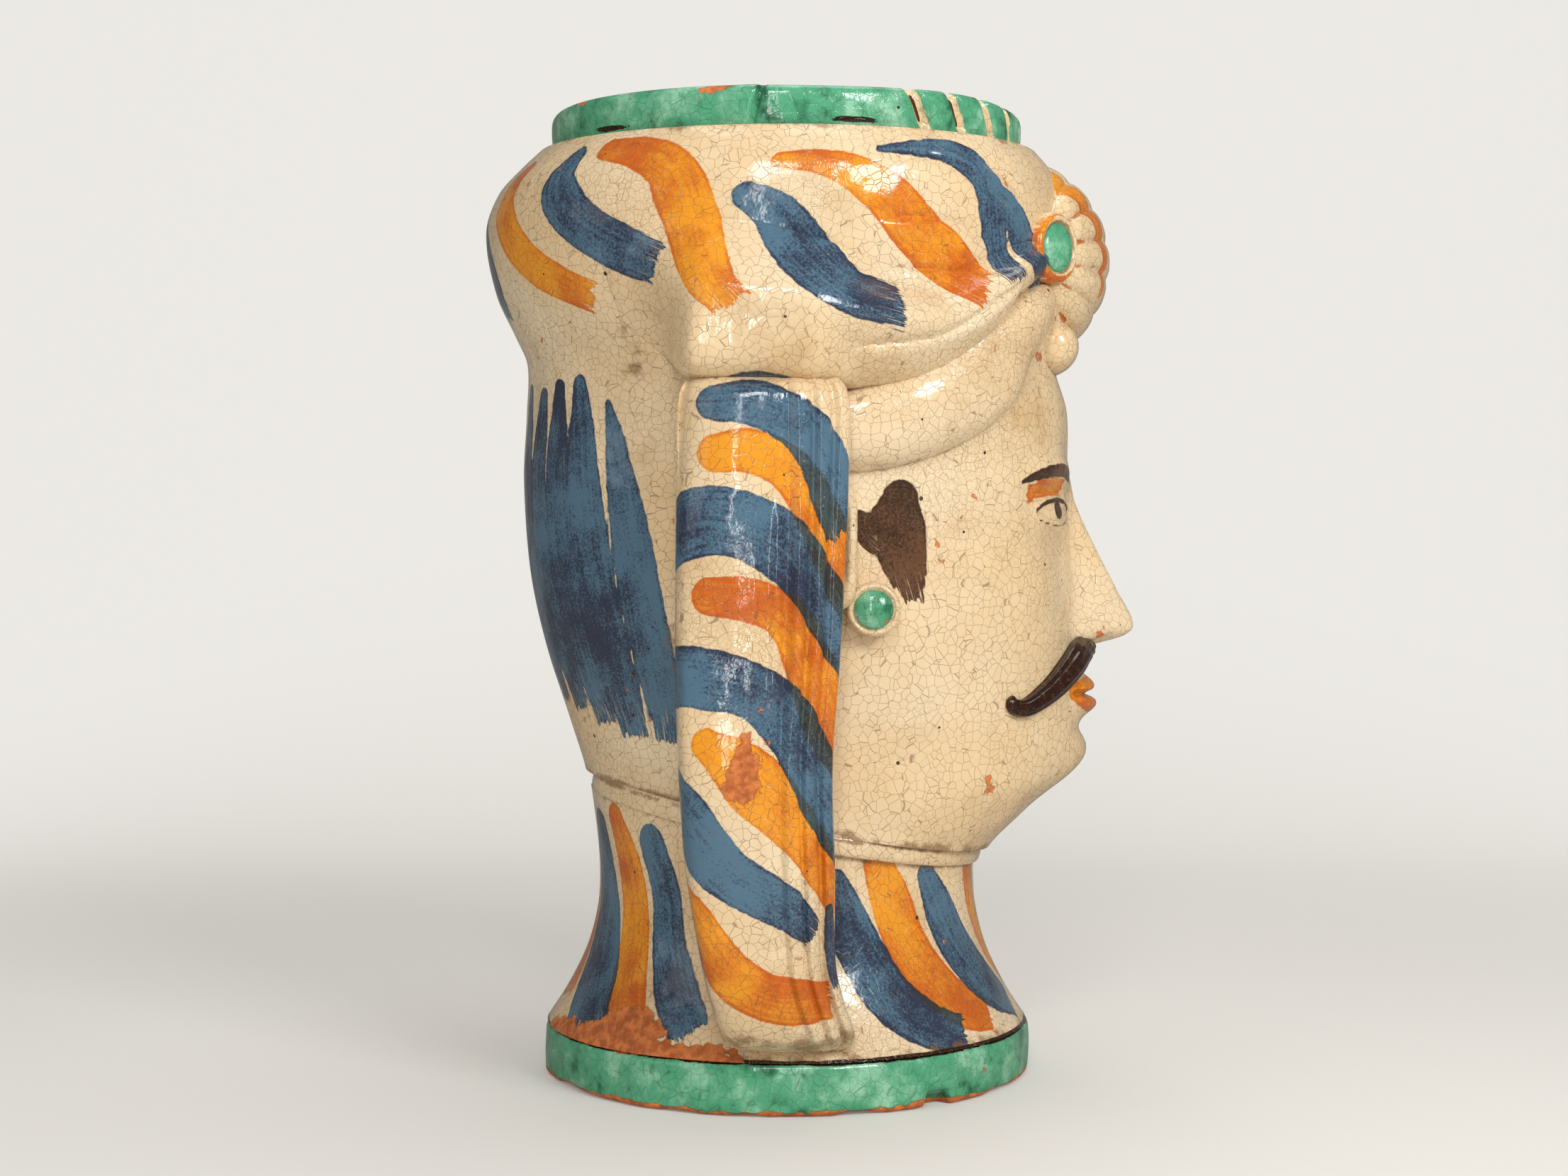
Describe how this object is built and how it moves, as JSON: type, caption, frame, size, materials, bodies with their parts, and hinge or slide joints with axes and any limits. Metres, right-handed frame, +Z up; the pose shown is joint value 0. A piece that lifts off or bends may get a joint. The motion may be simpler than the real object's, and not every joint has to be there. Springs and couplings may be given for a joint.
{
  "type": "face vase",
  "caption": "Glazed earthenware vase in the form of a turbaned head on a waisted pedestal, with two handles of hanging cloth.",
  "frame": {"origin": "centre of the foot's flat underside", "axes": "+Z up through the mouth, +X the way the face looks, the vase is mirrored across Y = 0"},
  "size_m": [0.2585, 0.2484, 0.38],
  "materials": {
    "cream_glaze": "glossy crazed tin glaze with painted strokes",
    "green_glaze": "glossy copper green glaze",
    "brown_glaze": "glossy manganese brown glaze",
    "terracotta": "unglazed fired clay"
  },
  "bodies": {
    "root": {"base_slab": "terracotta", "pedestal": "cream_glaze", "neck_coil": "cream_glaze", "face_shell": "cream_glaze", "nape_shell": "cream_glaze", "turban_shell": "cream_glaze", "front_puff": "cream_glaze", "forehead_lobe": "cream_glaze", "swag_right": "cream_glaze", "swag_left": "cream_glaze", "temple_roll_right": "cream_glaze", "temple_roll_left": "cream_glaze", "drape_handle_right": "cream_glaze", "drape_handle_left": "cream_glaze", "brooch_bezel_right": "cream_glaze", "brooch_bezel_left": "cream_glaze", "ear_right": "cream_glaze", "ear_left": "cream_glaze", "foot_plinth": "green_glaze", "rim_collar": "green_glaze", "brooch_stone_right": "green_glaze", "brooch_stone_left": "green_glaze", "earring_right": "green_glaze", "earring_left": "green_glaze", "moustache_right": "brown_glaze", "moustache_left": "brown_glaze"}
  },
  "joints": []
}
